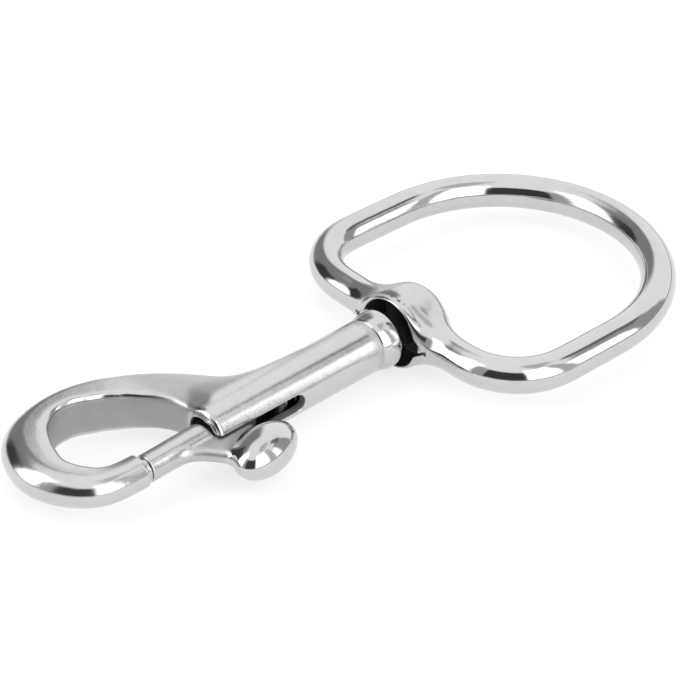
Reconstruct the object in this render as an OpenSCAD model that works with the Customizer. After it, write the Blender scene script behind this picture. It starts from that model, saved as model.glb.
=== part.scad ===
// Swivel-eye bolt snap with a wide D-shaped webbing eye.
// The barrel lies along X, the hook bulges to +Y, the thumb knob stands out to -Y.

/* [Barrel] */
// Outside diameter of the barrel
barrel_d = 9.74; // [9.2:0.02:10.2]
// Length of the barrel from its mouth to the seam
barrel_l = 37.1; // [36.6:0.1:37.6]
// Diameter of the bore that guides the bolt
bore_d = 6.4; // [6.1:0.1:6.6]
// Width of the slot that the web runs in
slot_w = 3.3; // [3.1:0.1:3.6]
// Length of the slot from the mouth to its rounded end
slot_l = 18.6; // [18.2:0.1:19]

/* [Hook] */
// Height of the hook's section along the top of its arm
arm_h = 8.4; // [8:0.1:8.8]
// Width of the hook's section along the top of its arm
arm_w = 6.2; // [5.9:0.1:6.5]
// Diameter of the round nose
nose_d = 6; // [5.8:0.1:6.2]
// Diameter of the blind seat in the nose
seat_d = 4.5; // [4.4:0.05:4.6]

/* [Bolt] */
// Diameter of the visible pin
pin_d = 5; // [4.9:0.05:5.1]
// Diameter of the reduced tip that enters the nose
tip_d = 4.1; // [3.9:0.1:4.2]
// Radial running clearance of the bolt in its bore
bolt_gap = 0.05; // [0.02:0.01:0.1]
// Thickness of the web between the pin and the knob
web_t = 2.7; // [2.5:0.1:2.9]
// Length of the oval thumb knob
knob_l = 14; // [13:0.2:14.4]
// Thickness of the oval thumb knob
knob_d = 8.4; // [8:0.1:8.8]
// Angle between the knob's long way and the barrel, in degrees
knob_tilt = 14.5; // [10:0.5:18]
// Angle by which the pin leans in its bore, in degrees
pin_lean = 1.8; // [0:0.2:2]
// Travel of the bolt from closed to open
bolt_travel = 10; // [8:0.5:10]

/* [Spring] */
// Outside diameter of the return spring
spring_d = 5.8; // [5.4:0.1:5.9]
// Diameter of the spring wire
wire_d = 0.6; // [0.5:0.05:0.65]
// Number of turns
spring_turns = 6; // [5:1:6]

/* [Swivel] */
// Diameter of the stud's collar
collar_d = 10.8; // [10.4:0.1:11]
// Diameter of the stud's neck
neck_d = 4.2; // [4:0.1:4.4]
// Radial running clearance of the hub on the neck
swivel_gap = 0.05; // [0.02:0.01:0.1]
// Diameter of the stud's peened head
head_d = 10.6; // [10.2:0.1:10.7]

/* [Eye] */
// Clear width inside the eye
eye_inner_w = 50.5; // [50:0.1:51]
// Diameter of the eye's round rod
rod_d = 6.5; // [6.2:0.1:6.8]
// Bend radius of the two near corners, to the rod's centre
corner_r = 12; // [11:0.5:13]
// Angle by which the eye sits askew on its hub, in degrees
eye_skew = 2; // [0:0.5:2.5]
// Outside diameter of the hub
hub_d = 14; // [13.8:0.1:14.2]
// Diameter of the hub's open mouth
mouth_d = 13; // [12.6:0.1:13.1]

/* [Hidden] */
$fn = 64;

hub_r = hub_d / 2;
rod_r = rod_d / 2;
side_y = eye_inner_w / 2 + rod_r;      // rod centre of the two straight sides
arch_x = 29.4;                         // centre of the eye's round far end
far_x = arch_x + side_y + rod_r;       // furthest point of the eye
left_x = -72.8;                        // furthest point of the hook
mid_x = (far_x + left_x) / 2;          // middle of the overall length
mouth_x = -5.3 - barrel_l;             // barrel mouth
seam_x = -5.3;                         // barrel end, where the collar sits
base_x = 4.4;                          // rod centre of the eye's near bar
shoulder_x = -55.4;                    // shoulder at the front of the pin
lean_x = -32;                          // point of the bolt about which the pin leans
nose_y = -0.5;                         // middle of the nose, which meets the leaning pin
seat_y = -0.75;                        // middle of its blind seat
plug_x = -10.5;                        // inner face of the stud's spigot
guide_x = -27;                         // back face of the bolt's guide
shoulder_r = 3.4;                       // shoulder that the hub bears on
wall_x = 6.0;                          // inner face of the hub's end wall
back_x = 9.1;                          // seat of the peened head on the hub
dome_x = 3.7;                          // centre of the hub's domed back
dome_r = 8.0;                          // its radius
lens_y = 9.0;                          // half width of the mouth at its pointed ends

// Places the model so that it lies on Z = 0, with the overall length centred on X = 0
module placed() translate([-mid_x, 0, hub_r]) children();

// A cylinder along X from x0 to x1
module rod_x(x0, x1, r, r2 = -1) translate([x0, 0, 0]) rotate([0, 90, 0])
    cylinder(h = x1 - x0, r1 = r, r2 = r2 < 0 ? r : r2);

// ---- hook arm: a rounded section swept along a smooth curve ----
// Stations of the arm: inner point, outer point, half height, squareness of the inner wall
arm_st = [
    [[-42.8, -0.6], [-26.0, 0.4], 3.6, 0.9],
    [[-42.7, 4.0], [-28.2, 5.6], 3.7, 0.9],
    [[-43.6, 8.4], [-32.4, 10.6], 3.85, 0.9],
    [[-46.2, 11.8], [-38.0, 16.2], arm_h / 2 - 0.2, 0.9],
    [[-49.9, 14.9], [-44.8, 20.7], arm_h / 2 - 0.05, 0.9],
    [[-54.6, 17.5], [-53.4, 17.4 + arm_w], arm_h / 2, 0.9],
    [[-59.4, 17.7], [-62.0, 23.4], arm_h / 2 - 0.05, 0.85],
    [[-63.1, 14.4], [-69.6, 19.6], arm_h / 2 - 0.3, 0.7],
    [[-64.7, 9.4], [-72.8, 10.6], arm_h / 2 - 0.7, 0.5],
    [[-63.8, 5.7], [-71.2, 4.0], 3.25, 0.3],
    [[-62.1, 3.7], [-67.4, -0.9], 3.05, 0.15],
    [[-60.2, 2.7], [-62.4, nose_y - nose_d / 2 + 0.25], nose_d / 2 - 0.05, 0],
    [[-57.8, 2.5], [-58.2, nose_y - nose_d / 2], nose_d / 2 - 0.05, 0],
    [[-56.7, 2.45], [-56.7, -3.45], 2.95, 0],
    [[-56.2, 2.2], [-56.2, -3.2], 2.7, 0]
];
steps = 4;                             // spline steps between two stations

// Catmull-Rom blend of four values
function cr(a, b, c, d, t) = 0.5 * ((2 * b) + (c - a) * t + (2 * a - 5 * b + 4 * c - d) * t * t
    + (3 * b - a - 3 * c + d) * t * t * t);
function st(i) = arm_st[max(0, min(len(arm_st) - 1, i))];
function at(i, t) = [for (k = [0:3]) cr(st(i - 1)[k], st(i)[k], st(i + 1)[k], st(i + 2)[k], t)];
stations = concat([for (i = [0:len(arm_st) - 2]) for (j = [0:steps - 1]) at(i, j / steps)],
    [arm_st[len(arm_st) - 1]]);

// One point of a section: an ellipse on its outer half, squarer on its inner half
sec_n = 28;
function sgn(v) = v < 0 ? -1 : 1;
function sec_pt(s, a) =
    let (ci = (s[0] + s[1]) / 2, u = (s[1] - s[0]) / 2,
         e = cos(a) < 0 ? 2 / (2 + 5 * s[3]) : 1,
         p = ci + u * sgn(cos(a)) * pow(abs(cos(a)), e))
    [p[0], p[1], s[2] * sgn(sin(a)) * pow(abs(sin(a)), e)];

module arm() {
    n = len(stations);
    pts = [for (s = stations) for (k = [0:sec_n - 1]) sec_pt(s, 360 * k / sec_n)];
    side = [for (i = [0:n - 2]) for (k = [0:sec_n - 1])
        let (a = i * sec_n + k, b = i * sec_n + (k + 1) % sec_n)
        each [[a, b, b + sec_n], [a, b + sec_n, a + sec_n]]];
    cap0 = [[for (k = [sec_n - 1:-1:0]) k]];
    cap1 = [[for (k = [0:sec_n - 1]) (n - 1) * sec_n + k]];
    polyhedron(points = pts, faces = concat(side, cap0, cap1), convexity = 6);
}

module snap_body() color("silver") placed() difference() {
    union() {
        arm();
        rod_x(mouth_x + 0.9, seam_x - 0.3, barrel_d / 2);
        rod_x(mouth_x, mouth_x + 0.9, barrel_d / 2 - 0.9, barrel_d / 2);
        rod_x(seam_x - 0.3, seam_x, barrel_d / 2, barrel_d / 2 - 0.15);
    }
    // bore for the bolt, spring and stud
    rod_x(mouth_x - 8, seam_x + 1, bore_d / 2);
    // slot for the web, open at the mouth
    translate([mouth_x - 6, -barrel_d, -slot_w / 2]) cube([slot_l + 6 - slot_w / 2, barrel_d, slot_w]);
    translate([mouth_x + slot_l - slot_w / 2, 0, 0]) rotate([90, 0, 0]) cylinder(h = barrel_d, r = slot_w / 2);
    // blind seat in the nose for the bolt's tip
    translate([0, seat_y, 0]) rod_x(-58.2, -50, seat_d / 2);
}

// Outline of the web in plan, with its hollow front edge
web_front = [for (a = [0:7.5:60]) [-51.5 + 9.1 * sin(a), -2.3 - 14 * (1 - cos(a))]];

module bolt() color("lightgray") placed() {
    translate([lean_x, 0, 0]) rotate([0, 0, pin_lean]) translate([-lean_x, 0, 0]) {
        rod_x(shoulder_x + 0.3, -36.9, pin_d / 2);
        rod_x(shoulder_x, shoulder_x + 0.3, pin_d / 2 - 0.25, pin_d / 2);
        rod_x(-57.4, shoulder_x, tip_d / 2 - 0.2, tip_d / 2);
    }
    // guide that fits the bore
    rod_x(-37.3, -36.8, pin_d / 2, bore_d / 2 - bolt_gap);
    rod_x(-36.8, -33.4, bore_d / 2 - bolt_gap);
    // stem and seat for the spring
    rod_x(-33.4, guide_x - 1, 1.9);
    rod_x(guide_x - 1.3, guide_x, bore_d / 2 - bolt_gap);
    // web
    translate([0, 0, -web_t / 2]) linear_extrude(height = web_t)
        polygon(concat([[-51.5, 0]], web_front, [[-38, -9.4], [-35.2, -8.0], [-35.2, 0]]));
    knob();
}

// Thumb knob: an oval ball lying beside the barrel
module knob() translate([-37.7, -10.5, 0]) rotate([0, 0, knob_tilt]) rotate([0, 90, 0])
    rotate_extrude() polygon([for (a = [-90:7.5:90]) [knob_d / 2 * cos(a), knob_l / 2 * sin(a)]]);

// ---- return spring: a round wire swept along a coil, its end turns wound close ----
coil_n = 16;                           // rings per turn
wire_n = 8;                            // sides of the wire
spring_x0 = guide_x + wire_d / 2 + 0.02;
spring_x1 = plug_x - wire_d / 2 - 0.02;
close_p = wire_d * 1.05;               // pitch of the close end turns
open_p = (spring_x1 - spring_x0 - 2 * close_p) / (spring_turns - 2);
function coil_x(t) = t < 1 ? t * close_p
    : t > spring_turns - 1 ? spring_x1 - spring_x0 - (spring_turns - t) * close_p
    : close_p + (t - 1) * open_p;

module return_spring() {
    rm = (spring_d - wire_d) / 2;
    n = spring_turns * coil_n;
    pts = [for (i = [0:n]) for (k = [0:wire_n - 1])
        let (t = i / coil_n, b = 360 * k / wire_n, r = rm + wire_d / 2 * cos(b))
        [spring_x0 + coil_x(t) + wire_d / 2 * sin(b), r * cos(360 * t), r * sin(360 * t)]];
    side = [for (i = [0:n - 1]) for (k = [0:wire_n - 1])
        let (a = i * wire_n + k, b = i * wire_n + (k + 1) % wire_n)
        each [[a, b + wire_n, b], [a, a + wire_n, b + wire_n]]];
    color("gray") placed()
        polyhedron(points = pts, faces = concat(side, [[for (k = [0:wire_n - 1]) k]],
            [[for (k = [wire_n - 1:-1:0]) n * wire_n + k]]), convexity = 12);
}

// Stud: spigot in the bore, rounded collar, shoulder and neck inside the hub, peened head
module swivel_stud() color("silver") placed() rotate([0, 90, 0]) rotate_extrude() polygon(concat(
    [[0, plug_x], [bore_d / 2 - 0.4, plug_x], [bore_d / 2, plug_x + 0.4], [bore_d / 2, seam_x],
     [barrel_d / 2, seam_x], [collar_d / 2 - 0.15, seam_x + 0.6], [collar_d / 2, seam_x + 1.6]],
    [for (a = [0:15:90]) [collar_d / 2 - 2.2 + 2.2 * cos(a), -2.0 + 2.2 * sin(a)]],
    [[shoulder_r, 0.2], [shoulder_r, wall_x - 0.25], [neck_d / 2, wall_x - 0.25],
     [neck_d / 2, back_x + 0.2], [head_d / 2, back_x + 0.2]],
    [for (a = [10:16:90]) [head_d / 2 * cos(a), back_x + 0.3 + 2.2 * sin(a)]]));

// D-shaped eye with its hollow hub
module swivel_eye() color("silver") placed() {
    difference() {
        union() {
            translate([arch_x + 2, 0, 0]) rotate([0, 0, -eye_skew]) translate([-arch_x - 2, 0, 0]) eye_ring();
            // hub: straight skirt with a domed back
            rotate([0, 90, 0]) rotate_extrude() polygon(concat(
                [[0, 0], [hub_r - 0.35, 0], [hub_r - 0.1, 0.25], [hub_r, 0.6], [hub_r, 7.0]],
                [for (a = [60:-6:36]) [dome_r * sin(a), dome_x + dome_r * cos(a)]],
                [[0, dome_x + dome_r * cos(36)]]));
            // flare from the hub into each arm of the near bar
            translate([base_x, 0, 0]) rotate([0, 0, -eye_skew]) for (s = [-1, 1]) rotate([-90 * s, 0, 0])
                cylinder(h = 12.5, r1 = 6.4, r2 = rod_r);
        }
        // bearing bore on the stud's neck
        rod_x(wall_x - 1, back_x + 1, neck_d / 2 + swivel_gap);
        // hollow that clears the collar
        rod_x(-3, wall_x, mouth_d / 2);
        // pointed ends of the mouth, with a small round relief at each tip
        translate([-1, 0, 0]) rotate([90, 0, 90]) linear_extrude(height = 2)
            polygon([for (a = [0:90:270]) [lens_y * cos(a), (mouth_d / 2 - 0.6) * sin(a)]]);
        for (s = [-1, 1]) translate([0, s * (lens_y - 0.2), 0]) rod_x(-1, 1.4, 0.45);
        // flat seat for the peened head
        rod_x(back_x, 16, 5.45);
    }
}

module eye_ring() {
    // near bar
    translate([base_x, -(side_y - corner_r), 0]) rotate([-90, 0, 0]) cylinder(h = 2 * (side_y - corner_r), r = rod_r);
    for (s = [-1, 1]) {
        // near corner
        translate([base_x + corner_r, s * (side_y - corner_r), 0]) rotate([0, 0, s > 0 ? 90 : 180])
            rotate_extrude(angle = 90) translate([corner_r, 0]) circle(r = rod_r);
        // straight side
        translate([base_x + corner_r, s * side_y, 0]) rotate([0, 90, 0])
            cylinder(h = arch_x - base_x - corner_r, r = rod_r);
    }
    // round far end
    translate([arch_x, 0, 0]) rotate([0, 0, -90]) rotate_extrude(angle = 180)
        translate([side_y, 0]) circle(r = rod_r);
}

snap_body();
bolt();
return_spring();
swivel_stud();
swivel_eye();
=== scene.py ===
# Visual model of the swivel-eye bolt snap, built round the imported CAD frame.
# Shapes are smooth blends of simple solids, meshed on a fine grid and drawn back onto the exact surface.
import math

import bpy
import numpy as np
from mathutils import Matrix, Vector


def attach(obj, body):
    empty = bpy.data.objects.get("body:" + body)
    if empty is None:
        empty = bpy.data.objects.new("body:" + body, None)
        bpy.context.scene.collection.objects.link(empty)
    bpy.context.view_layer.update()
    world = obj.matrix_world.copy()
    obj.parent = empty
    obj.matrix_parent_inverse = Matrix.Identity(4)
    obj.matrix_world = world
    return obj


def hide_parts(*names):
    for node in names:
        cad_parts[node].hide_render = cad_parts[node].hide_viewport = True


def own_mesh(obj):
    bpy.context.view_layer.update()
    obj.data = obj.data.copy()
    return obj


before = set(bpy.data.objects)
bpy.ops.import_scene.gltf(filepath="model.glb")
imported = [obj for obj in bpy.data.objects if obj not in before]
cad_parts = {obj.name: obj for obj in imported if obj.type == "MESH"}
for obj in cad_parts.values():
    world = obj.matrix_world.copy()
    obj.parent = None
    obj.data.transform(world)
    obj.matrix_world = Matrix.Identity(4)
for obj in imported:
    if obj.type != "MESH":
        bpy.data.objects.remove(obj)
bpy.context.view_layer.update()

# ---------------------------------------------------------------- frame
# Shapes are written in millimetres about the hub's mouth: +X from hook to eye, +Z up.
OFF = np.array([5.825, 0.0, 7.0])


def to_row(p):
    return (np.asarray(p, float) + OFF) / 1000.0


# ---------------------------------------------------------------- blends
def smin(a, b, k):
    h = np.maximum(k - np.abs(a - b), 0) / k
    return np.minimum(a, b) - h * h * h * k / 6


def smax(a, b, k):
    return -smin(-a, -b, k)


def rmin(a, b, r):
    u, v = np.maximum(r - a, 0), np.maximum(r - b, 0)
    return np.maximum(r, np.minimum(a, b)) - np.sqrt(u * u + v * v)


def rmax(a, b, r):
    return -rmin(-a, -b, r)


def step(x, a, b):
    t = np.clip((x - a) / (b - a), 0, 1)
    return t * t * t * (t * (6 * t - 15) + 10)


def rod(s, rho, s0, s1, r, e0=0.0, e1=0.0):
    """Cylinder along s from s0 to s1, its two rims rounded by e0 and e1."""
    mid, half = (s0 + s1) / 2, (s1 - s0) / 2
    e = np.where(s < mid, e0, e1)
    qx, qy = rho - (r - e), np.abs(s - mid) - (half - e)
    out = np.sqrt(np.maximum(qx, 0) ** 2 + np.maximum(qy, 0) ** 2)
    return out + np.minimum(np.maximum(qx, qy), 0) - e


# ---------------------------------------------------------------- plan curves
def spline(pts, closed=True, per=24, smooth=0.0):
    """Dense points of a Catmull-Rom curve, then smoothed by a Gaussian of that many millimetres along it."""
    p = np.array(pts, float)
    n = len(p)
    out = []
    for i in range(n if closed else n - 1):
        if closed:
            a, b, c, d = p[(i - 1) % n], p[i], p[(i + 1) % n], p[(i + 2) % n]
        else:
            a, b, c, d = p[max(i - 1, 0)], p[i], p[i + 1], p[min(i + 2, n - 1)]
        t = np.linspace(0, 1, per, endpoint=False)[:, None]
        out.append(
            0.5 * (2 * b + (c - a) * t + (2 * a - 5 * b + 4 * c - d) * t**2 + (3 * b - a - 3 * c + d) * t**3)
        )
    q = np.vstack(out + ([] if closed else [p[-1:]]))
    return even(q, closed, smooth)


def even(q, closed, smooth=0.0, gap=0.1):
    """Points at an even gap along a polyline, then smoothed along it."""
    loop = np.vstack([q, q[:1]]) if closed else q
    s = np.concatenate([[0], np.cumsum(np.linalg.norm(np.diff(loop, axis=0), axis=1))])
    m = max(8, int(s[-1] / gap))
    u = np.linspace(0, s[-1], m, endpoint=not closed)
    r = np.stack([np.interp(u, s, loop[:, i]) for i in range(2)], 1)
    if smooth > 0:
        k = int(4 * smooth / gap)
        w = np.exp(-0.5 * (np.arange(-k, k + 1) * gap / smooth) ** 2)
        w /= w.sum()
        if closed:
            e = np.vstack([r[-k:], r, r[:k]])
        else:  # the ends keep their place and direction
            e = np.vstack([2 * r[0] - r[k:0:-1], r, 2 * r[-1] - r[-2 : -k - 2 : -1]])
        r = np.stack([np.convolve(e[:, i], w, "valid") for i in range(2)], 1)
    return r


def dist2(px, py, poly, closed):
    """Distance from points to a polyline, and whether they are inside it."""
    a = poly
    b = np.roll(poly, -1, 0) if closed else poly[1:]
    a = a if closed else poly[:-1]
    ab = b - a
    l2 = (ab**2).sum(1)
    best = np.empty(px.shape)
    inside = np.zeros(px.shape, bool)
    fx, fy, fb, fi = px.ravel(), py.ravel(), best.reshape(-1), inside.reshape(-1)
    for i in range(0, len(fx), 4096):
        x, y = fx[i : i + 4096, None], fy[i : i + 4096, None]
        t = np.clip(((x - a[:, 0]) * ab[:, 0] + (y - a[:, 1]) * ab[:, 1]) / l2, 0, 1)
        d = (x - a[:, 0] - t * ab[:, 0]) ** 2 + (y - a[:, 1] - t * ab[:, 1]) ** 2
        fb[i : i + 4096] = d.min(1)
        if closed:
            c = (a[:, 1] > y) != (b[:, 1] > y)
            with np.errstate(divide="ignore", invalid="ignore"):
                xi = a[:, 0] + (y - a[:, 1]) / ab[:, 1] * ab[:, 0]
            fi[i : i + 4096] = (c & (x < xi)).sum(1) % 2 == 1
    return np.sqrt(best), inside


class Table:
    """A smooth function of two coordinates, kept on a grid and read with cubic interpolation."""

    def __init__(self, values, x0, y0, h):
        self.v, self.x0, self.y0, self.h = values, x0, y0, h

    def __call__(self, x, y):
        x, y = np.broadcast_arrays((x - self.x0) / self.h, (y - self.y0) / self.h)
        nx, ny = self.v.shape
        i = np.clip(np.floor(x).astype(np.int32), 1, nx - 3)
        j = np.clip(np.floor(y).astype(np.int32), 1, ny - 3)
        u, w = np.clip(x - i, -1, 2), np.clip(y - j, -1, 2)

        def wt(t):  # Catmull-Rom weights
            return (
                0.5 * (-t + 2 * t**2 - t**3),
                0.5 * (2 - 5 * t**2 + 3 * t**3),
                0.5 * (t + 4 * t**2 - 3 * t**3),
                0.5 * (-(t**2) + t**3),
            )

        wu, ww = wt(u), wt(w)
        flat, out = self.v.ravel(), 0.0
        base = i * ny + j
        for a in range(4):
            row = 0.0
            for b in range(4):
                row = row + ww[b] * flat[base + (a - 1) * ny + (b - 1)]
            out = out + wu[a] * row
        return out


def signed_table(poly, lo, hi, h=0.2):
    """Signed distance to a closed outline, negative inside."""
    xs, ys = np.arange(lo[0], hi[0] + h, h), np.arange(lo[1], hi[1] + h, h)
    gx, gy = np.meshgrid(xs, ys, indexing="ij")
    d, ins = dist2(gx, gy, poly, True)
    return Table(np.where(ins, -d, d), lo[0], lo[1], h)


def square_table(poly, lo, hi, h=0.25):
    """Squared distance to an open or closed centreline."""
    xs, ys = np.arange(lo[0], hi[0] + h, h), np.arange(lo[1], hi[1] + h, h)
    gx, gy = np.meshgrid(xs, ys, indexing="ij")
    d, _ = dist2(gx, gy, poly, False)
    return Table(d * d, lo[0], lo[1], h)


# ---------------------------------------------------------------- meshing
CORNERS = [(i, j, k) for i in (0, 1) for j in (0, 1) for k in (0, 1)]
EDGES = [(a, b) for a in range(8) for b in range(a + 1, 8) if sum(abs(CORNERS[a][i] - CORNERS[b][i]) for i in range(3)) == 1]


def net(f, lo, hi, h):
    """Quad mesh of f = 0 by surface nets, its points then moved onto the surface along the gradient."""
    ax = [np.arange(lo[i], hi[i] + h, h) for i in range(3)]
    vals = np.concatenate(
        [
            np.asarray(
                np.broadcast_to(
                    f(ax[0][s : s + 24][:, None, None], ax[1][None, :, None], ax[2][None, None, :]),
                    (len(ax[0][s : s + 24]), len(ax[1]), len(ax[2])),
                ),
                np.float32,
            )
            for s in range(0, len(ax[0]), 24)
        ]
    )
    neg = vals < 0
    n = np.array(vals.shape)
    cnt = np.zeros(n - 1, np.int8)
    for c in CORNERS:
        cnt += neg[c[0] : n[0] - 1 + c[0], c[1] : n[1] - 1 + c[1], c[2] : n[2] - 1 + c[2]]
    ci = np.argwhere((cnt > 0) & (cnt < 8))
    index = np.full(n - 1, -1, np.int32)
    index[ci[:, 0], ci[:, 1], ci[:, 2]] = np.arange(len(ci))
    cv = np.stack([vals[ci[:, 0] + c[0], ci[:, 1] + c[1], ci[:, 2] + c[2]] for c in CORNERS], 1).astype(float)
    tot, num = np.zeros((len(ci), 3)), np.zeros(len(ci))
    for a, b in EDGES:
        va, vb = cv[:, a], cv[:, b]
        cross = (va < 0) != (vb < 0)
        t = np.where(cross, va / np.where(cross, va - vb, 1), 0)
        pa, pb = np.array(CORNERS[a], float), np.array(CORNERS[b], float)
        tot += cross[:, None] * (pa + t[:, None] * (pb - pa))
        num += cross
    p = np.array(lo) + (ci + tot / num[:, None]) * h
    quads = []
    for axis in range(3):
        u, v = (axis + 1) % 3, (axis + 2) % 3
        sa, sb = [slice(None)] * 3, [slice(None)] * 3
        sa[axis], sb[axis] = slice(0, -1), slice(1, None)
        A, B = neg[tuple(sa)], neg[tuple(sb)]
        e = np.argwhere(A != B)
        e = e[(e[:, u] > 0) & (e[:, v] > 0) & (e[:, u] < n[u] - 1) & (e[:, v] < n[v] - 1)]
        inside_first = A[e[:, 0], e[:, 1], e[:, 2]]
        four = []
        for du, dv in ((-1, -1), (0, -1), (0, 0), (-1, 0)):
            c = e.copy()
            c[:, u] += du
            c[:, v] += dv
            four.append(index[c[:, 0], c[:, 1], c[:, 2]])
        q = np.stack(four, 1)
        q[~inside_first] = q[~inside_first][:, ::-1]
        quads.append(q)
    quads = np.concatenate(quads)
    for _ in range(4):
        val, g = value_and_slope(f, p)
        move = -val[:, None] * g / np.maximum((g * g).sum(1), 0.05)[:, None]
        size = np.linalg.norm(move, axis=1)[:, None]
        p = p + move * np.minimum(1, 0.4 * h / np.maximum(size, 1e-9))
    _, g = value_and_slope(f, p)
    g /= np.maximum(np.linalg.norm(g, axis=1), 1e-9)[:, None]
    return p, quads, g


def value_and_slope(f, p, e=0.04):
    x, y, z = p[:, 0], p[:, 1], p[:, 2]
    g = np.stack(
        [
            f(x + e, y, z) - f(x - e, y, z),
            f(x, y + e, z) - f(x, y - e, z),
            f(x, y, z + e) - f(x, y, z - e),
        ],
        1,
    ) / (2 * e)
    return f(x, y, z), g


def make_object(name, p, faces, normals=None, marks=None):
    """A mesh object in the row frame from millimetre points; marks are per-point attributes for its material."""
    me = bpy.data.meshes.new(name)
    p = to_row(p).astype(np.float32)
    faces = np.asarray(faces, np.int32)
    me.vertices.add(len(p))
    me.vertices.foreach_set("co", p.ravel())
    k = faces.shape[1]
    me.loops.add(faces.size)
    me.loops.foreach_set("vertex_index", faces.ravel())
    me.polygons.add(len(faces))
    me.polygons.foreach_set("loop_start", np.arange(0, faces.size, k, dtype=np.int32))
    me.polygons.foreach_set("use_smooth", np.ones(len(faces), bool))
    me.update(calc_edges=True)
    me.validate()
    for key, v in (marks or {}).items():
        at = me.attributes.new(key, "FLOAT", "POINT")
        at.data.foreach_set("value", np.ascontiguousarray(v, np.float32))
    if normals is not None:
        me.normals_split_custom_set_from_vertices([tuple(v) for v in normals])
    ob = bpy.data.objects.new(name, me)
    bpy.context.scene.collection.objects.link(ob)
    return ob


def lathe(name, profile, centre, axis, n=160, marks=None):
    """Surface of revolution: profile points (distance along the axis, radius), both ends on the axis."""
    axis = np.array(axis, float)
    axis /= np.linalg.norm(axis)
    u = np.cross(axis, [0, 0, 1.0] if abs(axis[2]) < 0.9 else [1.0, 0, 0])
    u /= np.linalg.norm(u)
    v = np.cross(axis, u)
    prof = np.array(profile, float)
    a = np.linspace(0, 2 * np.pi, n, endpoint=False)
    ring = np.cos(a)[:, None] * u + np.sin(a)[:, None] * v
    body = prof[1:-1]
    p = [np.array(centre) + prof[0, 0] * axis]
    for s, r in body:
        p.extend(np.array(centre) + s * axis + r * ring)
    p.append(np.array(centre) + prof[-1, 0] * axis)
    p = np.array(p)
    tris, quads = [], []
    for k in range(n):
        tris.append((0, 1 + (k + 1) % n, 1 + k))
        last = 1 + (len(body) - 1) * n
        tris.append((len(p) - 1, last + k, last + (k + 1) % n))
    for i in range(len(body) - 1):
        for k in range(n):
            a0, a1 = 1 + i * n + k, 1 + i * n + (k + 1) % n
            quads.append((a0, a1, a1 + n, a0 + n))
    me = bpy.data.meshes.new(name)
    me.from_pydata([tuple(q) for q in to_row(p)], [], tris + quads)
    me.polygons.foreach_set("use_smooth", np.ones(len(me.polygons), bool))
    me.update()
    ob = bpy.data.objects.new(name, me)
    bpy.context.scene.collection.objects.link(ob)
    return ob


# ---------------------------------------------------------------- snap body: barrel, arm and nose
MOUTH, SEAM, BARREL_R, BORE_R = -42.4, -5.3, 4.87, 3.2

INNER = [
    (-42.35, 2.0), (-42.40, 3.8), (-42.60, 5.5), (-43.0, 7.1), (-43.8, 8.8), (-44.8, 10.3), (-46.3, 11.8),
    (-47.6, 13.2), (-49.5, 14.6), (-51.3, 15.9), (-52.9, 16.6), (-54.6, 17.6), (-56.5, 18.1), (-58.8, 18.0),
    (-60.5, 17.3), (-62.1, 16.0), (-63.2, 14.1), (-64.0, 12.2), (-64.5, 10.2), (-64.8, 8.1), (-64.2, 6.3),
    (-63.0, 4.6), (-61.6, 3.1), (-60.0, 2.6), (-58.0, 2.5), (-55.0, 2.5), (-51.0, 2.5), (-47.0, 2.5),
    (-44.2, 2.5), (-42.60, 2.4),
]
OUTER = [
    (-22.0, 0.0), (-24.5, 2.6), (-28.0, 5.6), (-31.3, 9.3), (-34.5, 12.9), (-38.1, 16.2), (-41.6, 18.8),
    (-44.9, 20.7), (-48.1, 22.3), (-50.9, 23.2), (-53.5, 23.6), (-56.4, 23.8), (-59.3, 23.7), (-62.8, 23.2),
    (-66.9, 21.8), (-70.4, 18.5), (-72.4, 13.7), (-72.8, 9.0), (-71.6, 4.7), (-69.6, 1.3), (-67.0, -1.3),
    (-63.9, -2.9), (-60.8, -3.4), (-57.9, -3.5), (-54.0, -3.5), (-50.0, -3.0), (-44.0, -2.6), (-34.0, -2.4),
    (-26.0, -2.0),
]
BOX = ((-76, -8), (-16, 30))
inner = signed_table(spline(INNER, smooth=0.5), *BOX)
outer = signed_table(spline(OUTER, smooth=0.9), *BOX)

# half height and squareness of the arm's section, by direction from the throat's middle
TH = np.array([-60, -30, 0, 30, 60, 90, 120, 150, 180, 200, 220, 236, 250, 262, 280, 300], float)
HH = np.array([3.7, 3.7, 3.8, 4.05, 4.2, 4.2, 4.15, 3.9, 3.5, 3.2, 3.0, 2.9, 2.9, 2.95, 2.95, 2.95])
SQ = np.array([6.5, 6.5, 6.5, 6.5, 6.5, 6.5, 6.3, 5.0, 3.4, 2.7, 2.3, 2.1, 2.0, 2.0, 2.0, 2.0])
th_fine = np.linspace(-60, 300, 721)


def fine(v):
    w = np.exp(-0.5 * (np.arange(-48, 49) / 16) ** 2)
    w /= w.sum()
    e = np.interp(th_fine, TH, v)
    return np.convolve(np.concatenate([np.full(48, e[0]), e, np.full(48, e[-1])]), w, "valid")


hh_fine, sq_fine = fine(HH), fine(SQ)


def f_arm(x, y, z):
    di, do = inner(x, y), -outer(x, y)
    w = (di + do) / 2
    ws = np.maximum(w, 0.6)
    t = (di - do) / 2 / ws
    th = np.degrees(np.arctan2(y - 9.0, x + 54.5))
    th = np.where(th < -60, th + 360, th)
    h, sq = np.interp(th, th_fine, hh_fine), np.interp(th, th_fine, sq_fine)
    n = np.where(t < 0, sq, 2.0)
    m = np.where(t < 0, sq, 2.0)
    tt, zz = np.abs(t), np.abs(z) / h
    # past the edges of the band the plan distance rules
    q = (np.minimum(tt, 3) ** n + np.minimum(zz, 3) ** m) ** (1 / n) - 1
    return np.minimum(ws, h) * q


def pin_y(x):
    """Middle of the visible pin, which hangs 1.8 degrees low in its bore."""
    return (x + 32.0) * math.tan(math.radians(1.8))


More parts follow.
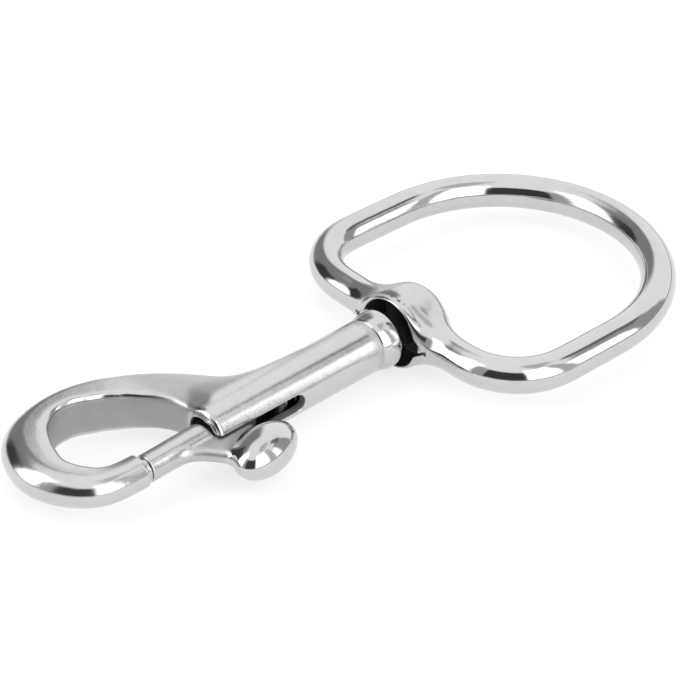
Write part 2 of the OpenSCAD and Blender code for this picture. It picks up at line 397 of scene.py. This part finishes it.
def f_body(x, y, z):
    rho = np.sqrt(y * y + z * z)
    arm = f_arm(x, y, z)
    gap = np.maximum(np.maximum(-56.2 - x, x + 42.7), y - 3.6)
    arm = rmax(arm, -gap, 0.4)
    barrel = rod(x, rho, MOUTH, SEAM, BARREL_R, 0.9, 0.15)
    k = 0.8 + 5.2 * step(x, -43.5, -37.5) * step(y, -1.0, 3.5)
    u = smin(barrel, arm, k)
    bore = np.maximum(rho - BORE_R, -(x + 50.0))
    u = rmax(u, -bore, 0.3)
    slot = np.sqrt(np.maximum(x + 25.45, 0) ** 2 + z * z) - 1.65
    slot = np.maximum(np.maximum(slot, y), -(x + 50.0))
    u = rmax(u, -slot, 0.25)
    seat = np.maximum(np.sqrt((y - pin_y(-56.0)) ** 2 + z * z) - 2.25, -(x + 58.2))
    seat = np.maximum(seat, x + 52.0)
    return rmax(u, -seat, 0.25)


# ---------------------------------------------------------------- bolt
WEB = [
    (-53.5, 0.0), (-51.6, -1.9), (-49.8, -2.75), (-48.2, -3.7), (-46.7, -4.9), (-45.5, -6.3), (-44.2, -8.0),
    (-42.6, -9.6), (-39.6, -10.0), (-36.8, -8.8), (-35.6, -7.0), (-35.2, -3.0), (-35.2, 0.6), (-40.0, 0.8), (-48.0, 0.8),
]
web = signed_table(spline(WEB, smooth=0.25), (-58, -14), (-30, 5))
# thumb knob: an oval ball, its long way leaning a little along the barrel
KNOB_C, KNOB_A = (-37.7, -10.5), math.radians(14.5)
KNOB_R = (7.0, 4.3, 4.0)


def f_knob(x, y, z):
    dx, dy = x - KNOB_C[0], y - KNOB_C[1]
    u = dx * math.cos(KNOB_A) + dy * math.sin(KNOB_A)
    v = dy * math.cos(KNOB_A) - dx * math.sin(KNOB_A)
    a, b, c = KNOB_R
    k0 = np.sqrt((u / a) ** 2 + (v / b) ** 2 + (z / c) ** 2)
    k1 = np.sqrt((u / a**2) ** 2 + (v / b**2) ** 2 + (z / c**2) ** 2)
    return k0 * (k0 - 1) / np.maximum(k1, 0.05)


def f_bolt(x, y, z):
    rho = np.sqrt(y * y + z * z)
    low = np.sqrt((y - pin_y(x)) ** 2 + z * z)
    pin = rod(x, low, -55.4, -36.0, 2.5, 0.3, 0.1)
    tip = rod(x, low, -57.4, -54.0, 2.05, 0.2, 0.1)
    guide = np.minimum(rod(x, rho, -37.0, -33.4, 3.15, 0.5, 0.3), rod(x, rho, -28.3, -27.0, 3.15, 0.3, 0.2))
    guide = rmin(guide, rod(x, rho, -34.0, -27.5, 1.9, 0.1, 0.1), 0.3)
    d = web(x, y)
    plate = np.sqrt(np.maximum(d + 1.35, 0) ** 2 + z * z) - 1.35
    u = smin(rmin(pin, tip, 0.1), plate, 1.3)
    u = smin(u, guide, 0.3)
    return smin(u, f_knob(x, y, z), 3.0)


# ---------------------------------------------------------------- eye and hub
ROD_R, SIDE_Y, ARCH_X, BASE_X, CORNER_R = 3.25, 28.5, 29.4, 4.4, 12.0
SKEW = (math.cos(math.radians(2.0)), math.sin(math.radians(2.0)))


def arc(cx, cy, r, a0, a1):
    a = np.radians(np.linspace(a0, a1, max(8, int(abs(math.radians(a1 - a0)) * r / 0.2))))
    return np.stack([cx + r * np.cos(a), cy + r * np.sin(a)], 1)


loop = np.vstack(
    [
        [[BASE_X, 0.0], [BASE_X, SIDE_Y - CORNER_R]],
        arc(BASE_X + CORNER_R, SIDE_Y - CORNER_R, CORNER_R, 180, 90),
        [[ARCH_X, SIDE_Y]],
        arc(ARCH_X, 0, SIDE_Y, 90, -90),
        arc(BASE_X + CORNER_R, -SIDE_Y + CORNER_R, CORNER_R, -90, -180),
        [[BASE_X, 0.0]],
    ]
)
loop = loop[np.concatenate([[True], np.linalg.norm(np.diff(loop, axis=0), axis=1) > 1e-6])]
centreline = square_table(np.vstack([even(loop[:-1], True, smooth=1.6), [[BASE_X, 0.0]]]), (-6, -38), (68, 38))

HUB = [
    (0.0, 0.0), (0.0, 3.0), (0.0, 6.0), (0.1, 6.55), (0.4, 6.9), (0.85, 7.0), (1.25, 6.94), (1.6, 6.7), (2.05, 6.7), (2.6, 6.9),
    (3.4, 7.0), (5.0, 7.0), (6.6, 6.95), (7.8, 6.75), (8.9, 6.1), (9.9, 5.1), (10.7, 3.9), (11.3, 2.5), (11.65, 1.2), (11.7, 0.0),
]
hub_half = HUB + [(s, -r) for s, r in HUB[-2:0:-1]]
hub = signed_table(spline(hub_half, smooth=0.2), (-4, -1), (16, 14), 0.15)


def f_eye(x, y, z):
    rho = np.sqrt(y * y + z * z)
    ay = np.abs(y)
    near = 1 - step(x, 9.0, 15.0)
    grow = 1.7 * (1 - step(ay, 3.0, 13.5)) * near
    # the ring sits a little askew about the eye's middle
    sx, sy = ARCH_X + 2 + (x - ARCH_X - 2) * SKEW[0] - y * SKEW[1], (x - ARCH_X - 2) * SKEW[1] + y * SKEW[0]
    d2 = np.maximum(centreline(sx, sy), 0)
    ring = np.sqrt(d2 + z * z) - ROD_R - grow
    back = hub(np.clip(x, -3.7, 15.6), np.minimum(rho, 13.5)) + np.maximum(rho - 13.5, 0) + np.maximum(np.abs(x - 6) - 9.6, 0)
    u = smin(back, ring, 3.5)
    # front of the hub is trimmed flat
    u = rmax(u, -(x + 0.0), 0.7)
    hollow = np.maximum(rho - 6.5, x - 6.0)
    u = rmax(u, -hollow, 0.3)
    lens = (ay / 9.0 + np.abs(z) / 5.9 - 1) * 4.6
    lens = np.maximum(lens, x - 1.0)
    u = rmax(u, -lens, 0.25)
    pit = np.maximum(np.sqrt((ay - 8.8) ** 2 + z * z) - 0.45, x - 1.6)
    u = rmax(u, -pit, 0.12)
    bore = np.maximum(rho - 2.15, x - 13.0)
    u = np.maximum(u, -bore)
    # seat of the peened head
    seat = np.maximum(np.maximum(rho - 5.5, 9.1 - x), x - 13.0)
    return rmax(u, -seat, 0.12)


H_BODY, H_BOLT, H_EYE = 0.22, 0.2, 0.26

p, q, nrm = net(f_body, (-74.0, -6.0, -5.6), (-4.2, 27.0, 5.6), H_BODY)
snap = make_object("SnapBody", p, q, nrm, {})
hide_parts("snap_body")
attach(snap, "body")

p, q, nrm = net(f_bolt, (-58.0, -15.8, -4.8), (-26.4, 3.8, 4.8), H_BOLT)
bolt = make_object("Bolt", p, q, nrm, {})
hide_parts("bolt")
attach(bolt, "bolt")

p, q, nrm = net(f_eye, (-0.8, -32.6, -7.6), (62.0, 33.0, 7.6), H_EYE)
eye = make_object("SwivelEye", p, q, nrm, {})
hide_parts("swivel_eye")
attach(eye, "eye")


def curve2(pts, per=10):
    """Dense profile through the points, with straight runs kept where two points repeat."""
    return [tuple(v) for v in spline(pts, closed=False, per=per)[::3]]


STUD = (
    [(-10.5, 0.0), (-10.5, 2.8), (-10.1, 3.18), (-5.32, 3.18), (-5.31, 4.7)]
    + curve2([(-5.3, 4.8), (-5.0, 4.95), (-4.4, 5.18), (-3.6, 5.36), (-2.7, 5.44), (-1.8, 5.4), (-1.1, 5.2), (-0.5, 4.8), (-0.05, 4.2), (0.18, 3.6)])
    + [(0.2, 3.4), (5.75, 3.4), (5.76, 2.1), (9.14, 2.1), (9.15, 5.1)]
    + curve2([(9.2, 5.3), (9.5, 5.38), (9.85, 5.15), (10.3, 4.55), (10.8, 3.75), (11.25, 2.6), (11.6, 1.3), (11.68, 0.25)])
    + [(11.69, 0.0)]
)
stud = lathe("SwivelStud", STUD, (0, 0, 0), (1, 0, 0))
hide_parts("swivel_stud")
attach(stud, "body")


def coil():
    """Return spring: closed end turns, open turns between, in the space between the bolt and the stud."""
    x0, x1, wire, turns = -27 + 0.32, -10.5 - 0.32, 0.6, 6
    close = wire * 1.05
    open_ = (x1 - x0 - 2 * close) / (turns - 2)
    n, m, rm = turns * 48, 12, 2.6
    t = np.arange(n + 1) / 48
    adv = np.where(t < 1, t * close, np.where(t > turns - 1, x1 - x0 - (turns - t) * close, close + (t - 1) * open_))
    b = np.arange(m) * 2 * np.pi / m
    ring, pts = [], []
    for i in range(n + 1):
        r = rm + wire / 2 * np.cos(b)
        pts.append(np.stack([x0 + adv[i] + wire / 2 * np.sin(b), r * math.cos(2 * np.pi * t[i]), r * math.sin(2 * np.pi * t[i])], 1))
    pts = np.vstack(pts)
    faces = []
    for i in range(n):
        for k in range(m):
            a, c = i * m + k, i * m + (k + 1) % m
            faces.append((a, c, c + m, a + m))
    me = bpy.data.meshes.new("ReturnSpring")
    me.from_pydata([tuple(v) for v in to_row(pts)], [], faces + [tuple(range(m - 1, -1, -1)), tuple(range(n * m, n * m + m))])
    me.polygons.foreach_set("use_smooth", np.ones(len(me.polygons), bool))
    me.update()
    ob = bpy.data.objects.new("ReturnSpring", me)
    bpy.context.scene.collection.objects.link(ob)
    return ob


spring = coil()
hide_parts("return_spring")
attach(spring, "body")
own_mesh(spring)


# ---------------------------------------------------------------- materials
def metal(name, colour, rough, grain=2300.0):
    """Steel with polish ripples, fine brushing, cast grain and worn patches, blended by the per-point marks.

    The marks are: satin (brushed along X), matte (blasted inner walls), cast (rough skin) and a fourth one that
    roughens the steel and darkens its colour to near black as painted shade in the bore, the hub's hollow and other
    recesses."""
    m = bpy.data.materials.new(name)
    m.use_nodes = True
    nt = m.node_tree
    b = nt.nodes["Principled BSDF"]
    b.inputs["Metallic"].default_value = 1.0
    obj = nt.nodes.new("ShaderNodeTexCoord").outputs["Object"]

    def noise(scale, detail, stretch=None, rough_=0.5):
        t = nt.nodes.new("ShaderNodeTexNoise")
        t.inputs["Scale"].default_value = scale
        t.inputs["Detail"].default_value = detail
        t.inputs["Roughness"].default_value = rough_
        if stretch is None:
            nt.links.new(obj, t.inputs["Vector"])
        else:
            mp = nt.nodes.new("ShaderNodeMapping")
            mp.inputs["Scale"].default_value = stretch
            nt.links.new(obj, mp.inputs["Vector"])
            nt.links.new(mp.outputs["Vector"], t.inputs["Vector"])
        return t.outputs["Fac"]

    def put(sock, v):
        if isinstance(v, (int, float)):
            sock.default_value = v
        else:
            nt.links.new(v, sock)

    def calc(op, a, b_=0.0, c=0.0):
        n = nt.nodes.new("ShaderNodeMath")
        n.operation = op
        put(n.inputs[0], a)
        put(n.inputs[1], b_)
        put(n.inputs[2], c)
        return n.outputs[0]

    def mark(key):
        n = nt.nodes.new("ShaderNodeAttribute")
        n.attribute_name = key
        return n.outputs["Fac"]

    satin_, matte, cast, dull = mark("satin"), mark("matte"), mark("cast"), mark("dull")
    cloud = noise(140, 4)
    patch = noise(520, 3, rough_=0.6)
    lines = noise(1.0, 3, (260, 7000, 7000), 0.65)
    fine = noise(grain, 4, rough_=0.65)
    ripple = noise(420, 1)
    # roughness
    r = calc("MULTIPLY_ADD", calc("SUBTRACT", cloud, 0.5), 0.06, rough)
    r = calc("MULTIPLY_ADD", calc("MULTIPLY_ADD", lines, 0.12, 0.02), satin_, r)
    r = calc("MULTIPLY_ADD", dull, 0.3, r)
    r = calc("MULTIPLY_ADD", calc("MULTIPLY_ADD", lines, 0.2, 0.24), matte, r)
    r = calc("MULTIPLY_ADD", calc("MULTIPLY_ADD", patch, 0.2, 0.16), cast, r)
    nt.links.new(calc("MAXIMUM", r, 0.02), b.inputs["Roughness"])
    # colour: slightly warmer and darker where the polish thins out
    t = calc("MULTIPLY_ADD", calc("SUBTRACT", patch, 0.5), 0.5, calc("MULTIPLY_ADD", calc("SUBTRACT", cloud, 0.5), 0.9, 0.35))
    t = calc("MULTIPLY_ADD", matte, 0.45, t)
    t = calc("MULTIPLY_ADD", cast, 0.45, t)
    mix = nt.nodes.new("ShaderNodeMix")
    mix.data_type = "RGBA"
    mix.clamp_factor = True
    nt.links.new(t, mix.inputs["Factor"])
    ins = [i for i in mix.inputs if i.type == "RGBA"]
    ins[0].default_value = (*colour, 1)
    ins[1].default_value = (colour[0] * 0.86, colour[1] * 0.855, colour[2] * 0.85, 1)
    outs = [o for o in mix.outputs if o.type == "RGBA"]
    # painted shade: where the fourth mark is set the colour goes to near black, standing in for the shade inside the
    # bore, the hub's hollow and other recesses
    mix2 = nt.nodes.new("ShaderNodeMix")
    mix2.data_type = "RGBA"
    nt.links.new(dull, mix2.inputs["Factor"])
    ins2 = [i for i in mix2.inputs if i.type == "RGBA"]
    nt.links.new(outs[0], ins2[0])
    ins2[1].default_value = (0.11, 0.108, 0.105, 1)
    nt.links.new([o for o in mix2.outputs if o.type == "RGBA"][0], b.inputs["Base Color"])
    # relief: ripples of the hand polish everywhere, then brushing and grain where marked
    h = calc("MULTIPLY", ripple, 1.0)
    h = calc("MULTIPLY_ADD", lines, calc("MULTIPLY_ADD", satin_, 0.25, calc("MULTIPLY", matte, 0.6)), calc("MULTIPLY", h, 1.0))
    h = calc("MULTIPLY_ADD", fine, calc("MULTIPLY_ADD", cast, 2.4, calc("MULTIPLY_ADD", satin_, 1.5, 0.1)), h)
    bump = nt.nodes.new("ShaderNodeBump")
    bump.inputs["Strength"].default_value = 1.0
    bump.inputs["Distance"].default_value = 0.00002
    nt.links.new(h, bump.inputs["Height"])
    nt.links.new(bump.outputs["Normal"], b.inputs["Normal"])
    return m


def set_marks(ob, **marks):
    n = len(ob.data.vertices)
    for key in ("satin", "matte", "cast", "dull"):
        at = ob.data.attributes.new(key, "FLOAT", "POINT")
        v = marks.get(key)
        v = np.zeros(n) if v is None else np.broadcast_to(np.clip(v, 0, 1), (n,))
        at.data.foreach_set("value", np.ascontiguousarray(v, np.float32))


def points(ob):
    c = np.empty(len(ob.data.vertices) * 3)
    ob.data.vertices.foreach_get("co", c)
    c = c.reshape(-1, 3) * 1000 - OFF
    return c[:, 0], c[:, 1], c[:, 2]


x, y, z = points(snap)
rho = np.sqrt(y * y + z * z)
wall = (1 - step(inner(x, y), 0.25, 1.1)) * (1 - step(np.abs(z), 2.7, 3.5)) * step(y, 2.2, 5.0)
tube = (1 - step(np.abs(rho - BARREL_R), 0.1, 0.8)) * step(x, -41.5, -36.0)
inside = (1 - step(rho, 3.22, 3.5)) * step(x, -44.0, -42.0)
cut = (1 - step(np.abs(z), 1.75, 2.1)) * step(-y, 2.3, 2.9) * step(x, -43.5, -42.0) * (1 - step(x, -23.6, -22.8))
cut = cut * (1 - step(rho, 4.5, 4.8))
seam = step(x, -7.6, -5.7)
root = step(y, 0.5, 3.5) * step(x, -47.0, -42.0) * (1 - step(x, -31.0, -26.0)) * step(np.abs(z), 1.0, 2.5) * (1 - wall)
# painted shade: the bore's inside fully, and the hook's inner wall and the slot's cut walls lightly, get the
# near-black colour of the fourth mark
set_marks(
    snap,
    satin=0.45 + 0.15 * tube,
    matte=np.maximum(np.maximum(wall, 0.6 * cut), 0.75 * root),
    cast=np.maximum(np.maximum(seam, 0.8 * inside), cut),
    dull=np.maximum(inside, np.maximum(0.12 * cut, 0.28 * wall)),
)
snap.data.materials.append(metal("polished_casting", (0.6, 0.6, 0.595), 0.1))

x, y, z = points(bolt)
plate = (1 - step(np.abs(z), 1.5, 2.0)) * step(-y, 2.7, 3.6) * (1 - step(-y, 7.0, 9.0))
hidden = step(x, -36.5, -35.0) * step(y, -4.0, -3.0)
# painted shade: the guide's part inside the bore is darkened to near black
set_marks(bolt, satin=0.5 * (1 - step(-y, 2.0, 4.0)), cast=np.maximum(0.8 * plate, hidden), matte=0.4 * plate, dull=hidden)
bolt.data.materials.append(metal("bolt_casting", (0.6, 0.6, 0.595), 0.1))

x, y, z = points(eye)
rho = np.sqrt(y * y + z * z)
hollow = (1 - step(rho, 6.4, 6.7)) * (1 - step(x, 6.2, 7.2))
# painted shade: the hub's hollow is darkened to near black
set_marks(eye, cast=np.maximum(hollow, 0.25 * (1 - step(rho, 7.5, 11.0))), dull=hollow)
eye.data.materials.append(metal("polished_eye", (0.6, 0.6, 0.595), 0.075))

x, y, z = points(stud)
deep = step(x, -0.3, 0.3) * (1 - step(x, 9.1, 9.3))
# painted shade: the stud's length inside the hub is darkened to near black
set_marks(stud, satin=0.3, cast=deep, dull=deep)
stud.data.materials.append(metal("turned_stud", (0.6, 0.6, 0.595), 0.08))

# painted shade: the spring inside the barrel is darkened part way to near black
set_marks(spring, satin=0.6, dull=0.4)
spring.data.materials.append(metal("spring_wire", (0.52, 0.52, 0.52), 0.16))

# ---------------------------------------------------------------- floor and studio
scene = bpy.context.scene
me = bpy.data.meshes.new("Floor")
me.from_pydata([(-3, -3, 0), (3, -3, 0), (3, 3, 0), (-3, 3, 0)], [], [(0, 1, 2, 3)])
floor = bpy.data.objects.new("Floor", me)
scene.collection.objects.link(floor)
fm = bpy.data.materials.new("floor")
fm.use_nodes = True
fm.node_tree.nodes["Principled BSDF"].inputs["Base Color"].default_value = (0.4, 0.4, 0.4, 1)
fm.node_tree.nodes["Principled BSDF"].inputs["Emission Color"].default_value = (1, 1, 1, 1)
fm.node_tree.nodes["Principled BSDF"].inputs["Emission Strength"].default_value = 0.66
fm.node_tree.nodes["Principled BSDF"].inputs["Roughness"].default_value = 0.9
fm.node_tree.nodes["Principled BSDF"].inputs["Specular IOR Level"].default_value = 0.1
me.materials.append(fm)

# light tent: a dome whose panels and flags are (middle azimuth, half width, lowest, highest, radiance, softness)
TENT = 1.2
PANELS = [
    (-45, 42, 66, 84, 0.7, 10),
    (-148, 29, 3.5, 50, 0.06, 9),
    (174, 10, 3.5, 50, 0.5, 7),
    (-96.5, 21.5, 5, 62, 2.7, 7),
    (-64.5, 8, 5, 60, 0.66, 5),
    (-50, 6.5, 7, 38, 2.2, 4),
    (-28, 14.5, 3, 48, 0.45, 7),
    (-19, 10, 40, 59, 0.22, 6),
    (147, 19, 6, 62, 2.7, 10),
    (92, 34, 4, 54, 0.3, 16),
    (113, 16, 2, 36, 0.06, 12),
]


def dome(radius=2.2, na=720, ne=182):
    az = np.radians(np.arange(na) * 360 / na)
    el = np.radians(np.linspace(-0.4, 90, ne)[:-1])
    A, E = np.meshgrid(az, el)
    rad = np.full(A.shape, TENT)
    ad, ed = np.degrees(A), np.degrees(E)
    for mid, half_w, e0, e1, value, soft in PANELS:
        d = np.abs((ad - mid + 180) % 360 - 180)
        w = (1 - step(d, half_w - soft / 2, half_w + soft / 2)) * step(ed, e0 - soft / 3, e0 + soft / 3)
        w = w * (1 - step(ed, e1 - soft / 2, e1 + soft / 2))
        rad = rad * (1 - w) + value * w
    line = (1 - step(ed, 2.6, 4.0))
    rad = rad * (1 - line) + 0.3 * line
    p = np.stack([np.cos(E) * np.cos(A), np.cos(E) * np.sin(A), np.sin(E)], 2).reshape(-1, 3) * radius
    p = np.vstack([p, [[0, 0, radius]]])
    i, k = np.meshgrid(np.arange(ne - 2), np.arange(na), indexing="ij")
    a, b2 = i * na + k, i * na + (k + 1) % na
    quads = np.stack([a, a + na, b2 + na, b2], 2).reshape(-1, 4)
    top = (ne - 2) * na
    tris = [(top + k, len(p) - 1, top + (k + 1) % na) for k in range(na)]
    me = bpy.data.meshes.new("Tent")
    me.from_pydata([tuple(v) for v in p], [], [tuple(q) for q in quads.tolist()] + tris)
    at = me.attributes.new("radiance", "FLOAT", "POINT")
    at.data.foreach_set("value", np.concatenate([rad.ravel(), [TENT]]).astype(np.float32))
    m = bpy.data.materials.new("tent")
    m.use_nodes = True
    nt = m.node_tree
    nt.nodes.clear()
    out = nt.nodes.new("ShaderNodeOutputMaterial")
    em = nt.nodes.new("ShaderNodeEmission")
    n = nt.nodes.new("ShaderNodeAttribute")
    n.attribute_name = "radiance"
    nt.links.new(n.outputs["Fac"], em.inputs["Strength"])
    nt.links.new(em.outputs[0], out.inputs[0])
    m.cycles.emission_sampling = "NONE"
    me.materials.append(m)
    ob = bpy.data.objects.new("Tent", me)
    scene.collection.objects.link(ob)
    ob.visible_camera = False
    ob.visible_shadow = False


dome()

world = bpy.data.worlds.new("World")
scene.world = world
world.use_nodes = True
world.node_tree.nodes["Background"].inputs[0].default_value = (1, 1, 1, 1)
world.node_tree.nodes["Background"].inputs[1].default_value = 1.0

# ---------------------------------------------------------------- camera
VIEW = np.array([0.56594, 0.59383, -0.57189])
VIEW /= np.linalg.norm(VIEW)
RIGHT = np.cross(VIEW, [0, 0, 1.0])
RIGHT /= np.linalg.norm(RIGHT)
UP = np.cross(RIGHT, VIEW)
F_PX, CX, CY = 2259.442, 387.437, 333.736
eye_at = to_row(-400.0 * VIEW)
aim = VIEW - (CX - 340) / F_PX * RIGHT + (CY - 340) / F_PX * UP
aim /= np.linalg.norm(aim)
right = RIGHT - RIGHT.dot(aim) * aim
right /= np.linalg.norm(right)
up = np.cross(right, aim)
cam = bpy.data.cameras.new("Camera")
cam.sensor_width = 36.0
cam.lens = F_PX * 36.0 / 680
cam.clip_start, cam.clip_end = 0.01, 20
co = bpy.data.objects.new("Camera", cam)
scene.collection.objects.link(co)
co.matrix_world = Matrix(
    [
        [right[0], up[0], -aim[0], eye_at[0]],
        [right[1], up[1], -aim[1], eye_at[1]],
        [right[2], up[2], -aim[2], eye_at[2]],
        [0, 0, 0, 1],
    ]
)
scene.camera = co
scene.view_settings.view_transform = "Standard"
